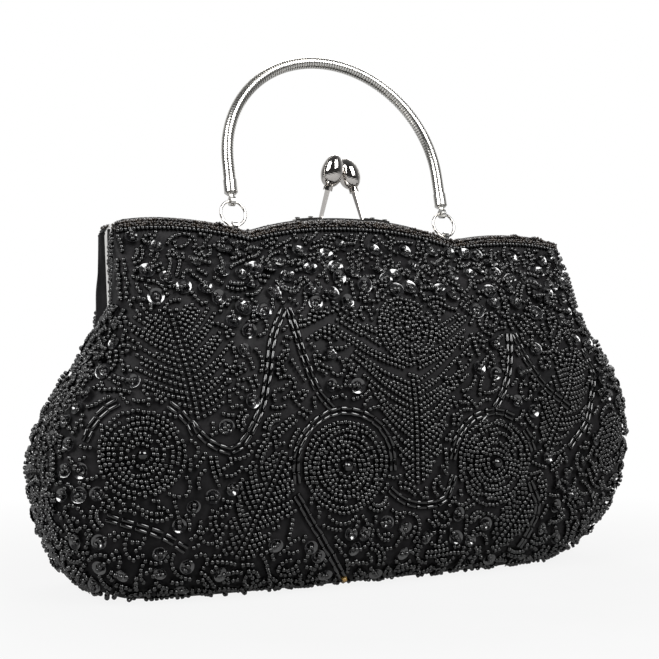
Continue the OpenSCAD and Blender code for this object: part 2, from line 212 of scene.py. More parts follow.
def satin(name, dark, light, thread, sheen):
    """Satin cloth: long floats of thread, slight slubs, darker creases and a soft sheen."""
    material, tree, shader, coords, _ = new_material(
        name, (70, 4, 0.6), [(0.35, dark), (0.65, light)], (0.52, 0.4),
        {"Specular IOR Level": 0.1, "Sheen Weight": sheen, "Sheen Roughness": 0.35,
         "Anisotropic": 0.4})
    waves = []
    for scale, way in ((3, "X"), (4, "Z")):
        wave = add_node(tree, "ShaderNodeTexWave", {
            "Vector": coords, "Scale": 1 / thread / scale, "Distortion": 1.3, "Detail": 2})
        wave.bands_direction = way
        waves.append(wave.outputs["Fac"])
    bumps(tree, shader, (noise(tree, coords, 120, 3, 0.5), 0.5, 0.0012),
          (sums(tree, "ADD", *waves), 0.25, 0.00008))
    return material


def glass_bead(name, dark, light, rough, ior=1.8):
    """Opaque glossy bead glass: tone and gloss change from bead to bead, with faint pitting."""
    material, tree, shader, coords, _ = new_material(
        name, (420, 1, 0.4), [(0.38, dark), (0.62, light)], rough, {"IOR": ior})
    bumps(tree, shader, (noise(tree, coords, 2600, 2, 0.5), 0.1, 0.00006))
    return material


def card(name):
    """Grey board, mottled by its fibres."""
    material, tree, shader, _, fibre = new_material(
        name, (900, 5, 0.7), [(0.3, (0.22, 0.18, 0.13)), (0.7, (0.42, 0.36, 0.28))], (0.8, 0.95))
    bumps(tree, shader, (fibre, 0.3, 0.0001))
    return material


SATIN = satin("bag_satin", (0.008, 0.008, 0.0085), (0.02, 0.019, 0.02), 0.00035, 0.02)
LINING = satin("lining_satin", (0.006, 0.006, 0.007), (0.014, 0.014, 0.016), 0.0003, 0.05)
BEAD = glass_bead("black_glass", (0.001, 0.001, 0.0012), (0.003, 0.0029, 0.003), (0.04, 0.1))
EDGE_BEAD = glass_bead("brown_black_glass", (0.008, 0.005, 0.004), (0.03, 0.019, 0.011),
                       (0.12, 0.25))
GOLD_BEAD = glass_bead("amber_glass", (0.35, 0.2, 0.05), (0.6, 0.38, 0.12), (0.05, 0.15))
SEQUIN = glass_bead("black_sequin", (0.004, 0.004, 0.0045), (0.012, 0.012, 0.013), (0.1, 0.2),
                    2.3)
FRAME_NICKEL = nickel("frame_nickel", (0.8, 0.79, 0.77), (0.08, 0.2))
CLASP_NICKEL = nickel("clasp_nickel", (0.76, 0.73, 0.7), (0.04, 0.1), 0.6)
RIVET_NICKEL = nickel("rivet_nickel", (0.72, 0.71, 0.69), (0.12, 0.28), 1.1)
HANDLE_NICKEL = nickel("handle_nickel", (0.84, 0.83, 0.8), (0.18, 0.3), 0.3)
CHAIN_NICKEL = chain_nickel("chain_nickel")
# Painted shade: the rings' nickel is the same plate as the frame's, painted darker.
RING_NICKEL_SHADED = nickel("ring_nickel_painted_shade", (0.62, 0.6, 0.57), (0.1, 0.2), 0.3)
STEEL = nickel("core_steel", (0.5, 0.5, 0.5), (0.25, 0.4))
CARD = card("grey_card")


# ---- the bag's form
CORNER_H = 139.7
FRAME_HALF_W = 102.5
ARM_LEAN, ARM_FOOT_Z = 1.4, 98
FOLD_HALF_W, FOLD_R = 102.4, 2  # the cloth's fold over the rail, and its corner radius
FOLD_DROP, FOLD_FOOT = 1.75, 0.55  # from the rail to the fold, and on to where it starts
FOLD_ROWS = 11
FRONT_FLAT, REAR_FLAT = 10.3, 10.0  # depth of the bag's flat ends before and behind Y 0
END_DEPTH = FRONT_FLAT + REAR_FLAT
FRONT_FACE, REAR_FACE = -10.25, 9.95  # Y where the faces meet the folds
FRONT_STEP, REAR_STEP = -6.85, 2.55  # Y where the folds end on the rail
FRONT_POWER, REAR_POWER = 3.4, 2.6  # how square the bag is from above
ARM_COVER_X = 103.4
SEAM_Z, SEAM_SLOPE = 107.4, 0.48
WIDEST = 6
LEVELS = np.array([0, .01, .04, .085, .16, .245, .345, .45, .535, .605, .665, .71, .765, .825,
                   .875, .92, .95]) * CORNER_H


def reach_curve(widest, mouth, shares):
    """Reach as a fine smooth curve over height. At each level it is a share of the widest, or
    above that level a share of the way from the mouth to it."""
    above = np.arange(len(shares)) >= WIDEST
    shares = np.array(shares)
    values = np.where(above, mouth + (widest - mouth) * shares, widest * shares)
    half, spread = 12, 5
    z = np.arange(0, CORNER_H, 0.5)
    v = np.interp(z, LEVELS, values)
    kernel = np.exp(-0.5 * (np.arange(-half, half + 1) / spread) ** 2)
    kernel /= kernel.sum()
    padded = np.concatenate([2 * v[0] - v[half:0:-1], v, 2 * v[-1] - v[-2:-half - 2:-1]])
    out = np.convolve(padded, kernel, "valid")
    return lambda q: np.interp(q, z, out)


END_REACH, END_MOUTH = 128, 102.9
FACE_REACH, FRONT_MOUTH, REAR_MOUTH = 44, 13.2, 12.9
LEFT_AT = reach_curve(END_REACH, END_MOUTH, [
    .79, .84, .885, .923, .963, .99, 1, .857, .582, .301, .125, .05, .02, .01, .005, 0, 0])
RIGHT_AT = reach_curve(END_REACH, END_MOUTH, [
    .63, .7, .765, .84, .92, .97, 1, 1, .923, .719, .464, .276, .158, .082, .031, .005, 0])
FRONT_AT = reach_curve(FACE_REACH, FRONT_MOUTH, [
    .6, .72, .85, .94, .99, 1, 1, .986, .957, .9, .836, .771, .671, .543, .371, .157, 0])
REAR_AT = reach_curve(FACE_REACH, REAR_MOUTH, [
    .6, .72, .85, .93, .99, 1, .986, .901, .789, .662, .535, .437, .296, .183, .099, .035, 0])
COVER_Z, TAB_Z = 124.0, 90.0
BLEND_Z0, BLEND_Z1 = 34.0, 106.0
# Layers that bend from the bag to the front half; their numbers, how much later or sooner than the
# cloth each bends so they stay in order, are not read here.
BENDS = {"cloth_bend": 0.0, "bead_bend": 1.5, "lining_bend": -3.0}
ABOVE_ALL = 200.0
ENDS = (("right", 1), ("left", -1))


def rail_z(x):
    """Height of the frame's wavy top at x."""
    a = np.abs(x)
    peak, side, low = CORNER_H + 6, CORNER_H + 2.5, CORNER_H - 1.2
    valley_x, crest_x = 47.5, 81.4
    curve = 2.2
    middle = peak - (peak - low) * (np.minimum(a, valley_x) / valley_x) ** curve
    rise = np.clip((crest_x - a) / (crest_x - valley_x), 0, 1)
    outer = side - (side - low) * rise ** curve
    fall = np.clip((a - crest_x) / (FRAME_HALF_W - crest_x), 0, 1)
    end = side - (side - CORNER_H) * fall ** 2
    return np.where(a <= valley_x, middle, np.where(a <= crest_x, outer, end))


def fold_z(x):
    """Height of the cloth's fold over the rail at x, a little under the bare metal's crown."""
    cx = FOLD_HALF_W - FOLD_R
    turn = np.clip((np.abs(x) - cx) / FOLD_R, 0, 1)
    return rail_z(np.minimum(np.abs(x), cx)) - FOLD_DROP - FOLD_R + FOLD_R * np.sqrt(1 - turn ** 2)


def arm_x(z):
    return FRAME_HALF_W - ARM_LEAN * (CORNER_H - z) / (CORNER_H - ARM_FOOT_Z)


def seam_z(y):
    """Height of the slanting seam where the bag's ends stop over the hinges."""
    return SEAM_Z - (y + FRONT_FLAT) * SEAM_SLOPE


def end_at(z, sign):
    return (RIGHT_AT if sign > 0 else LEFT_AT)(z)


def drawn_in(y, z, sign, share=1.0):
    """X of an end's cloth at y and z, drawn in over the frame's arm by a share."""
    reach = end_at(z, sign)
    drawn = share * np.sin(math.pi * (y + FRONT_FLAT) / END_DEPTH)
    return sign * (reach + (ARM_COVER_X - reach) * drawn)


def run_of(x, y):
    """How far along a path of points each of them is."""
    return np.concatenate([[0], np.cumsum(np.hypot(np.diff(x), np.diff(y)))])


# Columns run round the bag from its front middle towards +X: half a front, an end, two halves
# of the back, the other end, and the other half of the front.
NF, NE = 96, 12
SEGMENTS = [NF, NE, NF, NF, NE, NF]
COLS = np.concatenate([[0], np.cumsum(SEGMENTS)])
NC = COLS[-1]
FRONT_ORDER = np.concatenate([np.arange(COLS[5], NC), np.arange(0, COLS[1] + 1)])
QUARTERS = (True, True), (True, False), (False, False), (False, True)  # right, front
ROW_STEP = 1.45


def quarter(z, right, front):
    """One quarter of the bag's outline at height z, from its middle to its end corner."""
    t = np.linspace(0, math.pi / 2, 400)
    q = 2 / (FRONT_POWER if front else REAR_POWER)
    reach = end_at(z, right)
    depth, flat = (FRONT_AT(z), FRONT_FLAT) if front else (REAR_AT(z), REAR_FLAT)
    x = reach * np.sin(t) ** q
    y = flat + (depth - flat) * np.cos(t) ** q
    run = run_of(x, y)
    at = np.linspace(0, run[-1], NF + 1)
    x, y = np.interp(at, run, x), np.interp(at, run, y)
    return np.stack([x if right else -x, -y if front else y], 1), run[-1]


def is_front(column):
    return (column < COLS[1]) | (column >= COLS[5])


def is_end(column):
    return ((column >= COLS[1]) & (column < COLS[2])) | ((column >= COLS[4]) & (column < COLS[5]))


def build_form():
    """Rows of points round the bag from its base to its rail, and each row's segment lengths."""
    z = np.arange(0, COVER_Z + 0.01, 0.25)
    run = run_of(z, FRONT_AT(z))
    rows = int(round(run[-1] / ROW_STEP))
    zs = np.interp(np.linspace(0, run[-1], rows + 1), run, z)
    points, lengths = [], []
    for level in zs:
        (fr, lf), (rr, lr), (rl, ll), (fl, lk) = (quarter(level, *way) for way in QUARTERS)
        end_r = np.linspace(fr[-1], rr[-1], NE + 1)
        end_l = np.linspace(rl[-1], fl[-1], NE + 1)
        loop = np.concatenate([fr[:-1], end_r[:-1], rr[::-1][:-1], rl[:-1], end_l[:-1], fl[::-1]])
        points.append(np.column_stack([loop, np.full(len(loop), level)]))
        lengths.append([lf, END_DEPTH, lr, ll, END_DEPTH, lk])
    points, lengths = np.array(points), np.array(lengths)
    top = points[-1]
    face = np.where(top[:, 1] < 0, FRONT_FACE, REAR_FACE)
    x_top = np.clip(top[:, 0], -FOLD_HALF_W, FOLD_HALF_W)
    z_top = fold_z(x_top) - FOLD_FOOT
    extra = [np.column_stack([top[:, 0] + (x_top - top[:, 0]) * q,
                              top[:, 1] + (face - top[:, 1]) * q * (2 - q),
                              top[:, 2] + (z_top - top[:, 2]) * q])
             for q in np.arange(1, FOLD_ROWS + 1) / FOLD_ROWS]
    points = np.concatenate([points, extra])
    lengths = np.concatenate([lengths, np.repeat(lengths[-1:], len(extra), 0)])
    # Over the hinges the ends stop at a slanting seam, and are drawn in over the arms.
    for c0, c1, sign in ((COLS[1], COLS[2], 1), (COLS[4], COLS[5], -1)):
        end = points[:, c0 + 1:c1]
        seam = seam_z(end[:, :, 1])
        z = np.minimum(end[:, :, 2], seam)
        q = np.clip((z - TAB_Z) / (seam - TAB_Z), 0, 1)
        x = drawn_in(end[:, :, 1], z, sign, q * q)
        end[:, :, 0] = np.where(end[:, :, 2] < TAB_Z, end[:, :, 0], x)
        end[:, :, 2] = z
    return points, lengths, zs


RIPPLES, GIRTH = 26, 560
ANY_TURN = 7  # random phases and angles, in radians


def ripple(seed, size, wavelengths):
    """Soft uneven folds as a smooth function of place on the form, the same on every run."""
    draw = np.random.default_rng(seed)
    out = np.zeros((ROWS, NC + 1))
    round_share = np.linspace(0, 1, NC + 1)
    up = np.arange(ROWS)[:, None] * ROW_STEP
    for _ in range(RIPPLES):
        wave = draw.uniform(*wavelengths)
        turns = max(1, round(GIRTH / wave * draw.uniform(0.3, 1)))
        out += np.cos(2 * math.pi * (turns * round_share + up / wave * draw.uniform(-1, 1))
                      + draw.uniform(0, ANY_TURN)) / RIPPLES ** 0.5
    return out * size


def normals_of(points):
    """Outward unit normals of a looped grid."""
    wrapped = np.concatenate([points[:, -2:-1], points, points[:, 1:2]], 1)
    n = np.cross(wrapped[:, 2:] - wrapped[:, :-2], np.gradient(points, axis=0))
    return n / np.maximum(np.linalg.norm(n, axis=2, keepdims=True), 1e-9)


FORM, LENGTHS, ROW_Z = build_form()
ROWS = len(FORM)
NORMALS = normals_of(FORM)
# The cloth ripples, but not near its base and rail, nor at the ends from the hinges up.
RIPPLE_TOP, FADE_H, END_FADE_H = 132, 12, 8
HEIGHTS = FORM[:, :, 2]
FADE = np.clip(np.minimum(HEIGHTS, RIPPLE_TOP - HEIGHTS) / FADE_H, 0, 1)
END_FADE = np.clip((ARM_FOOT_Z - HEIGHTS) / END_FADE_H, 0, FADE)
FADE = np.where(is_end(np.arange(NC + 1)), END_FADE, FADE)
FORM = FORM + NORMALS * (ripple(5, 0.5, (14, 46)) * FADE)[:, :, None]
FORM[:, :, 2] = np.maximum(FORM[:, :, 2], 0)
FORM[:, -1] = FORM[:, 0]
NORMALS = normals_of(FORM)
BREAKS = np.concatenate([np.zeros((ROWS, 1)), np.cumsum(LENGTHS, 1)], 1)
TOP_V = (ROWS - 1) * ROW_STEP
REAR_MIDDLE = 10000  # marks distances round the bag that are taken from its rear middle
SPLIT_ROW = int(np.searchsorted(ROW_Z, BLEND_Z0))
TAB_ROW = int(np.searchsorted(ROW_Z, TAB_Z))
ROW, COLUMN = np.arange(ROWS - 1)[:, None], np.arange(NC)[None, :]
IN_FRONT, IN_END = is_front(COLUMN), is_end(COLUMN)


def column_at(k, s):
    """Column of the form's grid k rows up, at distance s round the bag from its front middle.
    Places on the rear are given from its own middle, with REAR_MIDDLE added."""
    r0 = np.floor(k).astype(int)
    breaks = BREAKS[r0].T * (1 - k + r0) + BREAKS[r0 + 1].T * (k - r0)
    s = np.where(s > REAR_MIDDLE / 2, breaks[3] + s - REAR_MIDDLE, s)
    s = np.mod(s, breaks[-1])
    column = np.zeros_like(s)
    for i, segment in enumerate(SEGMENTS):
        share = COLS[i] + (s - breaks[i]) / (breaks[i + 1] - breaks[i]) * segment
        column = np.where((s >= breaks[i]) & (s <= breaks[i + 1]), share, column)
    return column


def grid_at(grid, row, column):
    c0 = np.clip(np.floor(column).astype(int), 0, NC - 1)
    f = (column - c0)[:, None]
    return grid[row, c0] * (1 - f) + grid[row, c0 + 1] * f


def on_bag(s, v):
    """Point, outward normal, sideways tangent and column at s round the bag and v up it."""
    s, v = np.atleast_1d(s, v)
    k = np.clip(v / ROW_STEP, 0, ROWS - 1.001)
    r0 = np.floor(k).astype(int)
    f = (k - r0)[:, None]
    column = column_at(k, s)
    p, n = (grid_at(grid, r0, column) * (1 - f) + grid_at(grid, r0 + 1, column) * f
            for grid in (FORM, NORMALS))
    n /= np.linalg.norm(n, axis=1, keepdims=True)
    side = np.cross([[0, 0, 1.0]], n)
    side /= np.maximum(np.linalg.norm(side, axis=1, keepdims=True), 1e-9)
    return p, n, side, column


def v_of_z(z):
    return float(np.interp(z, ROW_Z, np.arange(len(ROW_Z)) * ROW_STEP))


def s_of_x(x, z, front):
    """Distance round the bag at a front or rear point x, at height z."""
    row = int(np.clip(round(v_of_z(z) / ROW_STEP), 0, ROWS - 1))
    columns = FRONT_ORDER[:-1] if front else np.arange(COLS[2], COLS[4])[::-1]
    column = float(np.interp(x, FORM[row, columns, 0], np.arange(len(columns))))
    if front:
        where = column - NF
        return where / NF * LENGTHS[row, 0 if where > 0 else 5]
    where = (len(columns) - 1) / 2 - column
    return REAR_MIDDLE + where / NF * LENGTHS[row, 2 if where < 0 else 3]


# ---- cloth
LINING_GAP, LINING_FLOOR = 2.35, 4.2
LINING_ROWS = 4, ROWS - 6
POCKET_HALF_W, POCKET_EDGE = 55, 1.5


def settle(name, mesh, material, body):
    """Makes a mesh a piece with its body; a piece that is to bend from the bag to the front half is
    baked in place.
    """
    mesh.materials.append(material)
    piece = add_object(name, mesh)
    if body in BENDS:
        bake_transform(piece)
    else:
        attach(piece, body)
    return piece


def weld(mesh, longest_edge=None):
    """Joins a mesh's doubled points, and cuts its long edges if it is to bend."""
    tool = bmesh.new()
    tool.from_mesh(mesh)
    bmesh.ops.remove_doubles(tool, verts=tool.verts, dist=1e-6)
    if longest_edge:
        long_edges = [e for e in tool.edges if e.calc_length() > longest_edge]
        bmesh.ops.subdivide_edges(tool, edges=long_edges, cuts=6, use_grid_fill=True)
        bmesh.ops.triangulate(tool, faces=tool.faces)
    tool.to_mesh(mesh)
    tool.free()


def grid_piece(name, points, body, keep=True, material=SATIN):
    """Mesh of a grid of points, without the quads that keep leaves out."""
    points = np.array(points)
    rows, cols = points.shape[:2]
    r, c = np.nonzero(np.broadcast_to(keep, (rows - 1, cols - 1)))
    a = r * cols + c
    faces = np.stack([a, a + 1, a + cols + 1, a + cols], 1)
    used, index = np.unique(faces, return_inverse=True)
    mesh = bpy.data.meshes.new(name)
    mesh.from_pydata((points.reshape(-1, 3)[used] * MM).tolist(), [],
                     index.reshape(faces.shape).tolist())
    weld(mesh)
    mesh.shade_smooth()
    return settle(name, mesh, material, body)


def inward_rings(rim, z, shares):
    return [rim] + [rim * [share, share, 0] + [0, 0, z] for share in shares]


def line(x, y, z):
    """One line of a fold's grid, with any of its coordinates given as one number."""
    return np.column_stack(np.broadcast_arrays(x, y, z))


def seam_line(sign):
    """The slanting seam that the end's cloth stops at, drawn in over the frame's arm."""
    y = np.linspace(-FRONT_FLAT, REAR_FLAT, 21)
    z = seam_z(y)
    return line(drawn_in(y, z, sign), y, z)


def make_cloth():
    """The beaded cloth, its base, and its folds over the frame's rail and arms."""
    heights = np.concatenate([ROW_Z, np.full(ROWS - 1 - len(ROW_Z), ABOVE_ALL)])[:, None]
    below_seam = heights < seam_z(FORM[0, :-1, 1])
    keep = (ROW < SPLIT_ROW) | ~(IN_FRONT | IN_END) | (IN_END & below_seam)
    body = grid_piece("bag_cloth", FORM, "bag", keep)
    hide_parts("bag_body", "rear_panel", "rear_cover")
    front = grid_piece("front_cloth", FORM[SPLIT_ROW:, FRONT_ORDER], "cloth_bend")
    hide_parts("front_panel", "front_cover")
    grid_piece("base_cloth", inward_rings(FORM[0], 0.02, (0.985, 0.9, 0.7, 0.4, 0.02)), "bag")
    for end, sign in ENDS:
        seam = seam_line(sign)
        hem = (0.15, -1.6), (0.5, -1.2), (0.45, 0.1), (0, 0.5), (-0.5, 0.2), (-0.6, -1.6)
        grid_piece(end + "_end_hem", [seam + [sign * a, 0, b] for a, b in hem], "bag")

    for name, out, step, face, flat, foot_z, rail_body, arm_body in (
            ("front", -1, FRONT_STEP, FRONT_FACE, -FRONT_FLAT, 105, "front_half", "cloth_bend"),
            ("rear", 1, REAR_STEP, REAR_FACE, REAR_FLAT, 95, "bag", "bag")):
        x = np.sin(np.linspace(-math.pi / 2, math.pi / 2, 300)) * FOLD_HALF_W
        top = fold_z(x)
        profile = [(face, -FOLD_FOOT), (face - out * 0.15, -0.2), (face - out * 0.5, 0),
                   ((face + step) / 2, 0.05), (step, 0), (step - out * 0.1, -0.7)]
        grid_piece(name + "_rail_fold", [line(x, y, top + z) for y, z in profile], rail_body)
        for end, sign in ENDS[::-1]:
            z = np.linspace(foot_z, 136, 24)
            reach, lean = end_at(z, sign), arm_x(z) + 0.25
            profile = [(reach, flat), (reach * 0.4 + lean * 0.6 + 0.2, flat - out * 0.7),
                       (lean + 0.1, flat - out * 1.6), (lean, step), (lean - 0.7, step - out * 0.1)]
            grid_piece(f"{name}_arm_fold_{end}", [line(sign * a, y, z) for a, y in profile],
                       arm_body)
    for end, sign in ENDS[::-1]:
        for name, top_z, y0, y1 in (("binding", 137, -1.8, -4.0), ("edge", 132.5, -4.0, -6.9)):
            z = np.linspace(103.6, top_z, 16)
            profile = [(-0.3, y0), (0.24, y0 - 0.05), (0.34, (y0 + y1) / 2), (0.24, y1 + 0.05),
                       (-0.3, y1)]
            grid_piece(f"{end}_arm_{name}",
                       [line(sign * (arm_x(z) + lift), y, z) for lift, y in profile], "front_half")


def make_lining():
    """Satin lining: a floor and walls behind the outer cloth, and the front's part as a piece of
    its own.
    """
    inner = FORM - NORMALS * LINING_GAP + NORMALS * ripple(11, 0.12, (10, 30))[:, :, None]
    inner[:, :, 2] = np.maximum(inner[:, :, 2], LINING_FLOOR)
    low, high = LINING_ROWS
    keep = (ROW >= low) & ((ROW < SPLIT_ROW) | ((ROW < TAB_ROW) & ~IN_FRONT)
                           | ((ROW < high) & ~IN_FRONT & ~IN_END))
    wall = grid_piece("lining_cloth", inner[:, ::-1], "bag", keep[:, ::-1], LINING)
    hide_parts("lining")
    part = inner[SPLIT_ROW:high + 1, FRONT_ORDER[::-1]]
    front = grid_piece("front_lining_cloth", part, "lining_bend", material=LINING)
    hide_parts("front_lining")
    floor = inward_rings(inner[low], LINING_FLOOR, (0.97, 0.85, 0.6, 0.3, 0.02))
    grid_piece("lining_floor", floor, "bag", material=LINING)

    # Slip pocket on the rear lining, with a doubled top hem.
    lines = []
    s = np.linspace(-POCKET_HALF_W, POCKET_HALF_W, 60)
    edge = np.minimum(1, (POCKET_HALF_W - np.abs(s)) / POCKET_EDGE)[:, None]
    for z, lift in [(40, 0.1), (41, 0.5), (50, 0.8), (60, 0.95), (70, 1.0), (78, 1.05),
                    (79, 1.35), (83, 1.4), (84, 1.3), (84.2, 0.9), (83, 0.6)]:
        p, n, _, _ = on_bag(REAR_MIDDLE + s, np.full(len(s), v_of_z(z)))
        lines.append(p - n * (2.5 + lift * (0.3 + 0.7 * edge)))
    pocket = grid_piece("pocket_cloth", lines, "bag", material=LINING)
    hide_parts("slip_pocket")


# ---- bead shapes
def spun(profile, segments):
    """Points and quads of a profile of (radius, height) turned round Z."""
    a = 2 * math.pi * np.arange(segments) / segments
    points = [(r * math.cos(t), r * math.sin(t), z) for r, z in profile for t in a]
    i = np.arange(segments)
    k = (i + 1) % segments
    band = np.stack([i, k, k + segments, i + segments], 1)
    return np.array(points), np.concatenate([band + j * segments for j in range(len(profile) - 1)])


BARREL = spun([(0.42, -0.96), (0.83, -0.87), (0.985, -0.5), (1, 0),
               (0.985, 0.5), (0.83, 0.87), (0.42, 0.96)], 8)
TUBE = spun([(0.5, -0.97), (0.92, -1), (1, -0.93), (1, 0.93), (0.92, 1), (0.5, 0.97)], 6)
CUP = spun([(0.12, 0), (0.4, 0), (0.44, 0.01), (0.48, 0.035), (0.95, 0.3), (1, 0.31)], 16)
MOST_TRIANGLES = 190000


def bead_mesh(name, shape, material, body, centre, axis, radius, half):
    """Meshes of many beads: each has a centre, a thread direction, a radius and a half length."""
    axis = axis / np.linalg.norm(axis, axis=1, keepdims=True)
    u = np.cross(axis, rng.normal(size=axis.shape))
    u /= np.linalg.norm(u, axis=1, keepdims=True)
    w = np.cross(axis, u)
    points, faces = shape
    x, y, z = points.T[:, :, None]
    limit = MOST_TRIANGLES // (2 * len(faces))
    for number, start in enumerate(range(0, len(centre), limit), 1):
        part = slice(start, start + limit)
        r, h = radius[part][:, None, None], half[part][:, None, None]
        c, a, b, d = (q[part][:, None] for q in (centre, axis, u, w))
        verts = c + h * z * a + r * (x * b + y * d)
        count = len(verts)
        index = (faces[None] + (np.arange(count) * len(points))[:, None, None]).reshape(-1, 4)
        mesh = bpy.data.meshes.new(f"{name}_{number}")
        mesh.vertices.add(count * len(points))
        mesh.vertices.foreach_set("co", (verts.reshape(-1) * MM).astype(np.float32))
        mesh.loops.add(index.size)
        mesh.loops.foreach_set("vertex_index", index.reshape(-1).astype(np.int32))
        mesh.polygons.add(len(index))
        mesh.polygons.foreach_set("loop_start", np.arange(0, index.size, 4, dtype=np.int32))
        mesh.update(calc_edges=True)
        mesh.shade_smooth()
        settle(mesh.name, mesh, material, body)


# ---- sewing
SEED_R, SEED_HALF = 0.95, 0.72
STEP = 1.74  # from seed to seed in a row
RING_STEP, RING_PITCH = 1.8, 1.88
LEAF_PITCH = 2.25
BUGLE_R, BUGLE_HALF, BUGLE_PITCH = 0.8, 2.15, 4.6
VINE_HALF_W = 0.98
SEQUIN_ROOM = 1.9
TAIL_LIFTS = (1.0, 1.2, 1.1, 0.7, 0.3, 0.1)  # of the seeds that hold a sequin
PAIR_SHARE, PAIR_SPACE, PAIR_GAP = 0.4, 2.05, 1.75
EDGE_PITCH, EDGE_ROW = 0.95, 0.88
CLASP_HALF_W = 27
ROUND_SHARE = 0.275  # of the girth, past a quarter, so front and rear places meet
CELL = 2.4
cells = {}  # places already sewn, by their cell of space
seeds, bugles, sequins, ambers, tiny = [], [], [], [], []  # (s, v, heading, lift, radius, half)


def free(p, gap):
    """Whether a place on the cloth has nothing sewn within a gap of it."""
    x, y, z = p
    i, j, k = int(x // CELL), int(y // CELL), int(z // CELL)
    for a in (i - 1, i, i + 1):
        for b in (j - 1, j, j + 1):
            for c in (k - 1, k, k + 1):
                for q in cells.get((a, b, c), ()):
                    if (q[0] - x) ** 2 + (q[1] - y) ** 2 + (q[2] - z) ** 2 < gap * gap:
                        return False
    return True


def take(p):
    cells.setdefault(tuple(int(c // CELL) for c in p), []).append(tuple(p))


def sew(kind, s, v, head, gap, radius, half, lift=0.0):
    """Sews those of a row's items that have room."""
    s, v, head = np.atleast_1d(s, v, head)
    points = on_bag(s, v)[0]
    lift = np.broadcast_to(lift, len(points))
    for i, p in enumerate(points):
        if free(p, gap):
            kind.append((s[i], v[i], head[i], lift[i], radius * rng.uniform(0.94, 1.06), half))
            take(p)


def along_path(path, step):
    """Evenly spaced places on a path of (s, v) points, with the path's heading there."""
    path_s, path_v = np.array(path, float).T
    run = run_of(path_s, path_v)
    count = max(1, int(run[-1] / step))
    at = (np.arange(count) + 0.5) * run[-1] / count

    (s, v), (s0, v0), (s1, v1) = (
        (np.interp(q, run, path_s), np.interp(q, run, path_v))
        for q in (at, at - step / 3, at + step / 3))
    return s, v, np.arctan2(v1 - v0, s1 - s0), run[-1] / count


def row_of_seeds(path, gap=1.3, size=1.0):
    s, v, head, _ = along_path(path, STEP * size)
    sew(seeds, s, v, head, gap * size, SEED_R * size, SEED_HALF * size)


def smooth_path(points, count=60):
    """Catmull-Rom curve through the points."""
    p = np.array(points, float)
    p = np.concatenate([[2 * p[0] - p[1]], p, [2 * p[-1] - p[-2]]])
    t = np.linspace(0, 1, count, endpoint=False)[:, None]
    out = []
    for a, b, c, d in zip(p, p[1:], p[2:], p[3:]):
        out.append(0.5 * (2 * b + (c - a) * t + (2 * a - 5 * b + 4 * c - d) * t ** 2
                          + (3 * b - a - 3 * c + d) * t ** 3))
    return np.concatenate([*out, p[-2:-1]])


def polar(s, v, radius, angle):
    return s + radius * math.cos(angle), v + radius * math.sin(angle)


def vine(path):
    """Two lines of bugle beads end to end, side by side along a curve."""
    s, v, head, pitch = along_path(smooth_path(path), BUGLE_PITCH)
    half = min(BUGLE_HALF, pitch / 2 - 0.1)
    for way in (-VINE_HALF_W, VINE_HALF_W):
        x, y = s - np.sin(head) * way, v + np.cos(head) * way
        for i, p in enumerate(on_bag(x, y)[0]):
            if not free(p, 0.9):
                continue
            bugles.append((x[i], y[i], head[i] + rng.normal(0, 0.04), 0.0, BUGLE_R, half))
            for q in (-1.6, -0.8, 0, 0.8, 1.6):
                take(on_bag(*polar(x[i], y[i], q, head[i]))[0][0])


def rosette(s0, v0, radius, heart=2.0):
    """Rings of seed beads round one larger bead, drawn apart here and there."""
    sew(seeds, s0, v0, 0.0, 0.5, heart, heart * 0.85, 0.4)
    r = heart + 1.7
    while r <= radius:
        a = np.arange(int(2 * math.pi * r / RING_STEP)) * RING_STEP / r + rng.uniform(0, ANY_TURN)
        rr = r + 0.35 * np.sin(3 * a + rng.uniform(0, ANY_TURN)) + rng.normal(0, 0.16, len(a))
        sew(seeds, s0 + rr * np.cos(a), v0 + rr * np.sin(a),
            a + math.pi / 2 + rng.normal(0, 0.35, len(a)), 1.35, SEED_R, SEED_HALF,
            rng.uniform(0, 0.5, len(a)))
        r += RING_PITCH


def slant_rows(base, tip, width, low_turn, high_turn, start=1.5, stem=True):
    """Rows of seeds slanting up from both sides of a stem. Width is one number, or shares of
    the stem with the reach there."""
    base, tip = np.array(base, float), np.array(tip, float)
    length = np.linalg.norm(tip - base)
    along = (tip - base) / length
    across = np.array([-along[1], along[0]])
    if stem:
        row_of_seeds([base, tip])
    for side in (-1, 1):
        k = 0.02 * length
        while k < length * 0.98:
            q = k / length
            if np.isscalar(width):
                reach = width * math.sin(math.pi * min(1, q * 0.9 + 0.12)) ** 0.7
            else:
                reach = np.interp(q, *width)
            reach *= rng.uniform(0.8, 1.1)
            turn = math.radians(low_turn + (high_turn - low_turn) * q + rng.normal(0, 2.5))
            way = across * side * math.cos(turn) + along * math.sin(turn)
            foot = base + along * k + across * side * start
            bend = foot + way * reach * 0.5 - along * reach * 0.05
            row_of_seeds(smooth_path([foot, bend, foot + way * reach], 12))
            k += LEAF_PITCH * rng.uniform(0.9, 1.12)


